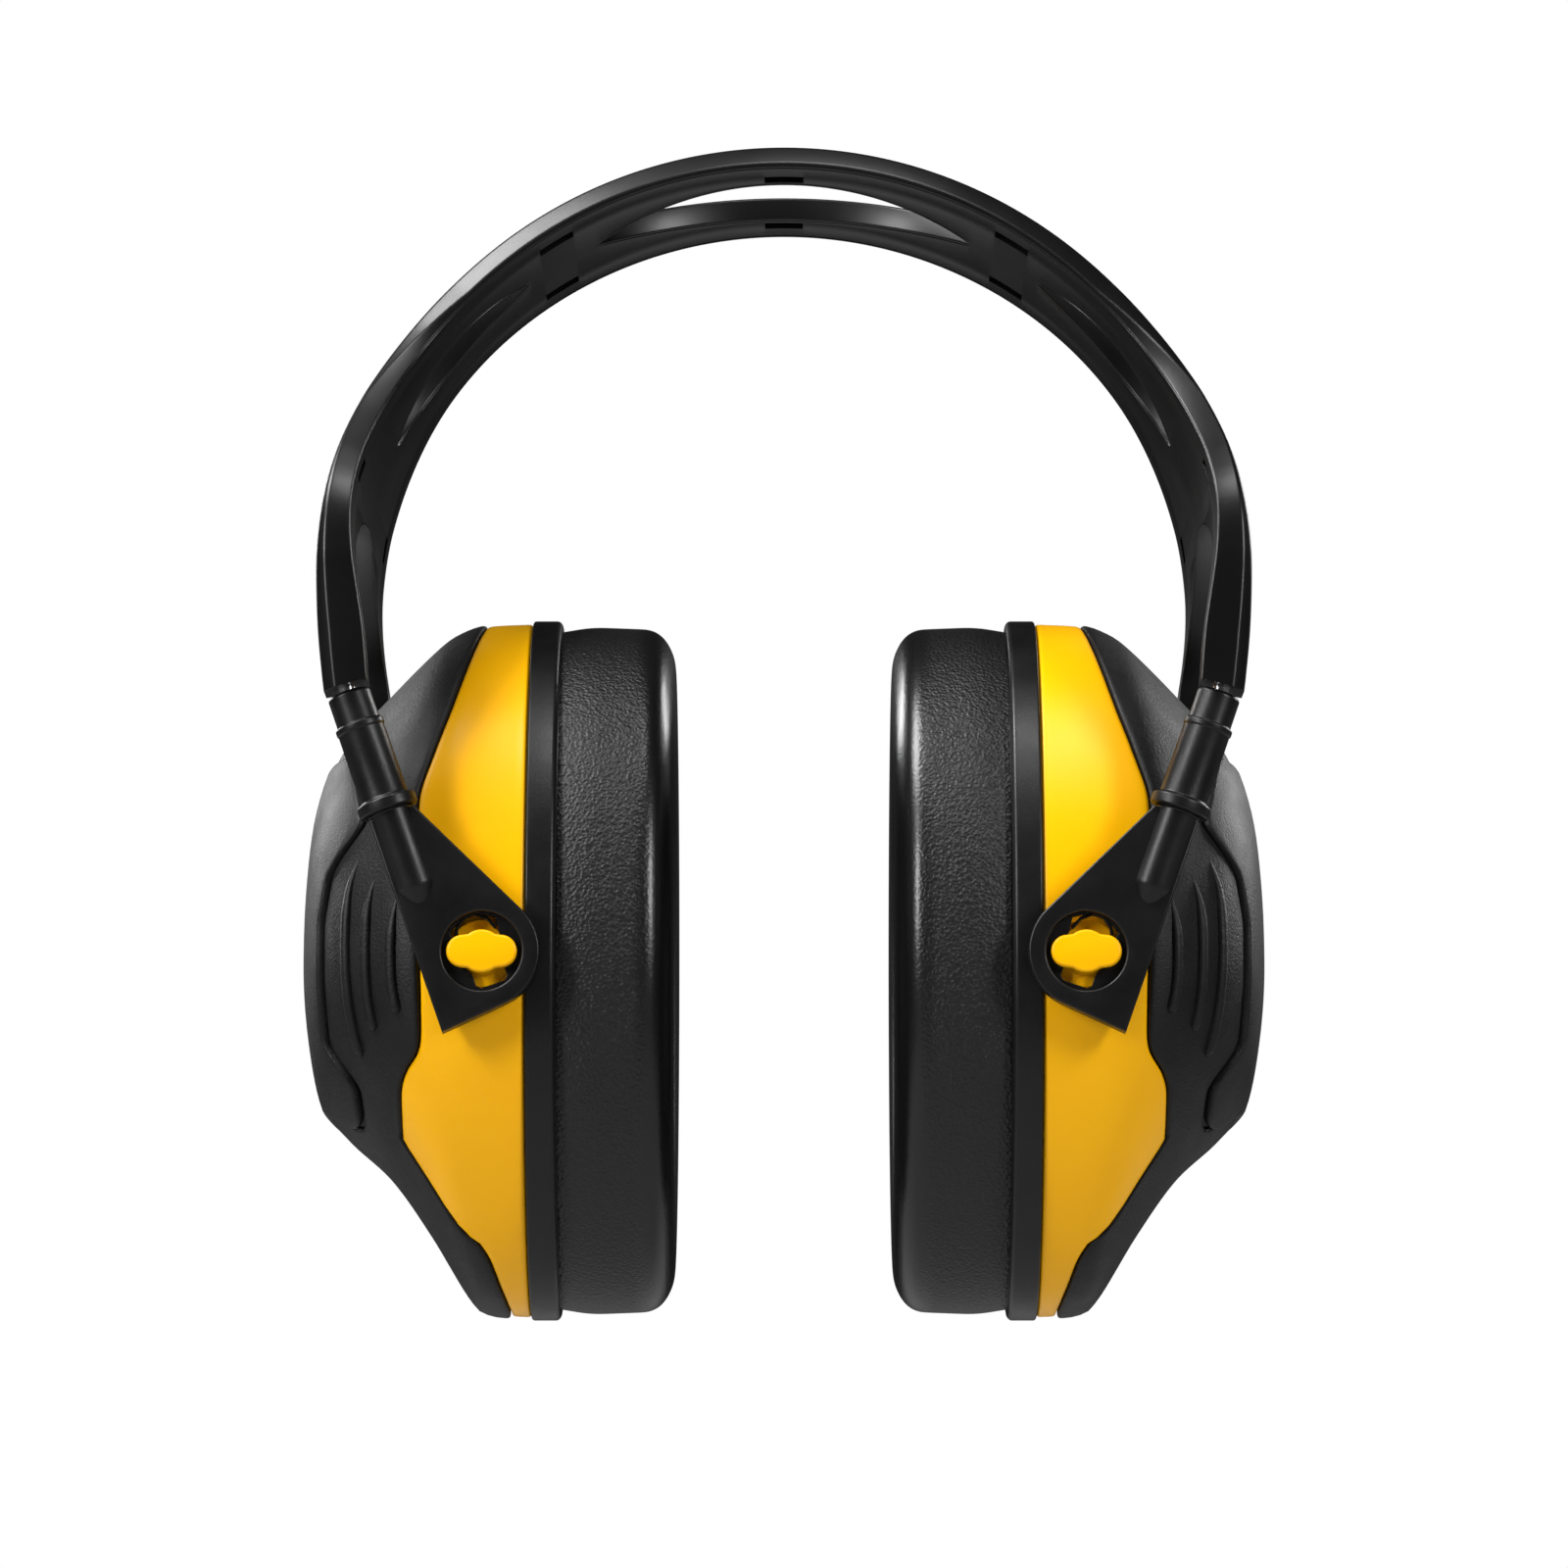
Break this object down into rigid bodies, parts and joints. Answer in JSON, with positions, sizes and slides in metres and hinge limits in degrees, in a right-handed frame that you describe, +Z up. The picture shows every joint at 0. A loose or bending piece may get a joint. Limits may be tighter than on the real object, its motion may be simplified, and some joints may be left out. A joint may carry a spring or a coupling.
{
  "type": "earmuff hearing protector",
  "caption": "Over-the-head earmuff hearing protector: slotted forked headband, sliding wire-guided arms and two tilting oval cups with padded cushions.",
  "frame": {"origin": "halfway between the two cushions, at the height of the cups' pivot studs: the middle of the wearer's head", "axes": "X from ear to ear, -Y the front, +Z up towards the crown of the headband"},
  "size_m": [0.1514, 0.098, 0.1831],
  "materials": {
    "black_band": "satin black injection moulding with soft highlights",
    "black_satin": "satin",
    "black_overmould": "fine-grained matte overmould",
    "yellow_shell": "glossy",
    "steel_wire": "drawn wire",
    "acoustic_foam": "open-cell foam",
    "cushion_foam": "soft foam",
    "black_leatherette": "pebbled soft leatherette, smoother on the rounded rim"
  },
  "bodies": {
    "headband": {"headband": "black_band"},
    "left_yoke": {"left_front_arm": "black_satin", "left_front_guide_wire": "steel_wire", "left_rear_arm": "black_satin", "left_rear_guide_wire": "steel_wire"},
    "left_cup": {"left_cup_shell": "yellow_shell", "left_overmould": "black_overmould", "left_outer_panel": "black_overmould", "left_foam_liner": "acoustic_foam", "left_base_ring": "black_satin", "left_cushion_backing": "black_satin", "left_cushion_foam": "cushion_foam", "left_cushion_skin": "black_leatherette", "left_front_pivot_stud": "yellow_shell", "left_rear_pivot_stud": "yellow_shell"},
    "right_yoke": {"right_front_arm": "black_satin", "right_front_guide_wire": "steel_wire", "right_rear_arm": "black_satin", "right_rear_guide_wire": "steel_wire"},
    "right_cup": {"right_cup_shell": "yellow_shell", "right_overmould": "black_overmould", "right_outer_panel": "black_overmould", "right_foam_liner": "acoustic_foam", "right_base_ring": "black_satin", "right_cushion_backing": "black_satin", "right_cushion_foam": "cushion_foam", "right_cushion_skin": "black_leatherette", "right_front_pivot_stud": "yellow_shell", "right_rear_pivot_stud": "yellow_shell"}
  },
  "joints": [
    {"name": "left_height_slide", "type": "slide", "parent": "headband", "child": "left_yoke", "axis": [0.0523, 0, -0.9986], "range_m": [0, 0.02]},
    {"name": "right_height_slide", "type": "slide", "parent": "headband", "child": "right_yoke", "axis": [-0.0523, 0, -0.9986], "range_m": [0, 0.02]},
    {"name": "left_cup_tilt", "type": "hinge", "parent": "left_yoke", "child": "left_cup", "pos_m": [-0.046, 0, 0], "axis": [0, -1, 0], "range_deg": [-15, 15]},
    {"name": "right_cup_tilt", "type": "hinge", "parent": "right_yoke", "child": "right_cup", "pos_m": [0.046, 0, 0], "axis": [0, 1, 0], "range_deg": [-15, 15]}
  ]
}
